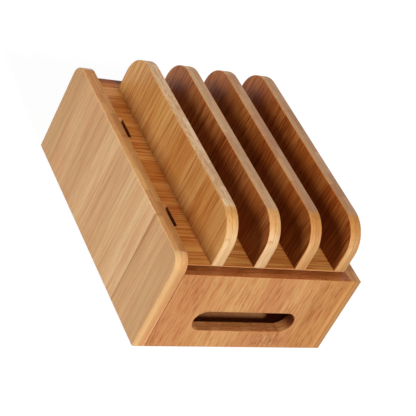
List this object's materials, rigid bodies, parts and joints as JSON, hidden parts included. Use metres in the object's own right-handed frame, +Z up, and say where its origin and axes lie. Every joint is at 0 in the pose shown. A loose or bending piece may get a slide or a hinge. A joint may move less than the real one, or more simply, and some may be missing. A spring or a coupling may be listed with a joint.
{
  "type": "charging station organizer",
  "caption": "Bamboo box with pill-shaped cable ports and a lift-off shelf, whose round-cornered dividers hold phones and tablets upright over cable slots.",
  "frame": {"origin": "centre of the footprint, on the surface that the feet stand on", "axes": "+X along the long side to the right, +Y from the front lip to the back panel, +Z up"},
  "size_m": [0.254, 0.192, 0.1314],
  "materials": {
    "bamboo_panel": "satin clear lacquer",
    "bamboo_shelf": "satin clear lacquer",
    "bamboo_divider": "satin clear lacquer",
    "bamboo_floor": "sanded, unlacquered",
    "bamboo_cleat": "sanded, unlacquered",
    "beech_dowel": "raw, glued",
    "zinc_plated_steel": "bright zinc plating",
    "black_rubber": "matt"
  },
  "bodies": {
    "base": {"front_panel": "bamboo_panel", "back_panel": "bamboo_panel", "left_side_panel": "bamboo_panel", "right_side_panel": "bamboo_panel", "bottom_panel": "bamboo_floor", "left_lid_cleat": "bamboo_cleat", "right_lid_cleat": "bamboo_cleat", "left_cleat_screws": "zinc_plated_steel", "right_cleat_screws": "zinc_plated_steel", "front_left_dowels": "beech_dowel", "back_left_dowels": "beech_dowel", "front_right_dowels": "beech_dowel", "back_right_dowels": "beech_dowel", "front_left_foot": "black_rubber", "back_left_foot": "black_rubber", "front_right_foot": "black_rubber", "back_right_foot": "black_rubber"},
    "lid": {"lid_shelf": "bamboo_shelf", "divider_1": "bamboo_divider", "divider_2": "bamboo_divider", "divider_3": "bamboo_divider", "divider_4": "bamboo_divider", "divider_1_screws": "zinc_plated_steel", "divider_2_screws": "zinc_plated_steel", "divider_3_screws": "zinc_plated_steel", "divider_4_screws": "zinc_plated_steel"}
  },
  "joints": [
    {"name": "lid_lift", "type": "slide", "parent": "base", "child": "lid", "axis": [0, 0, 1], "range_m": [0, 0.045]}
  ]
}
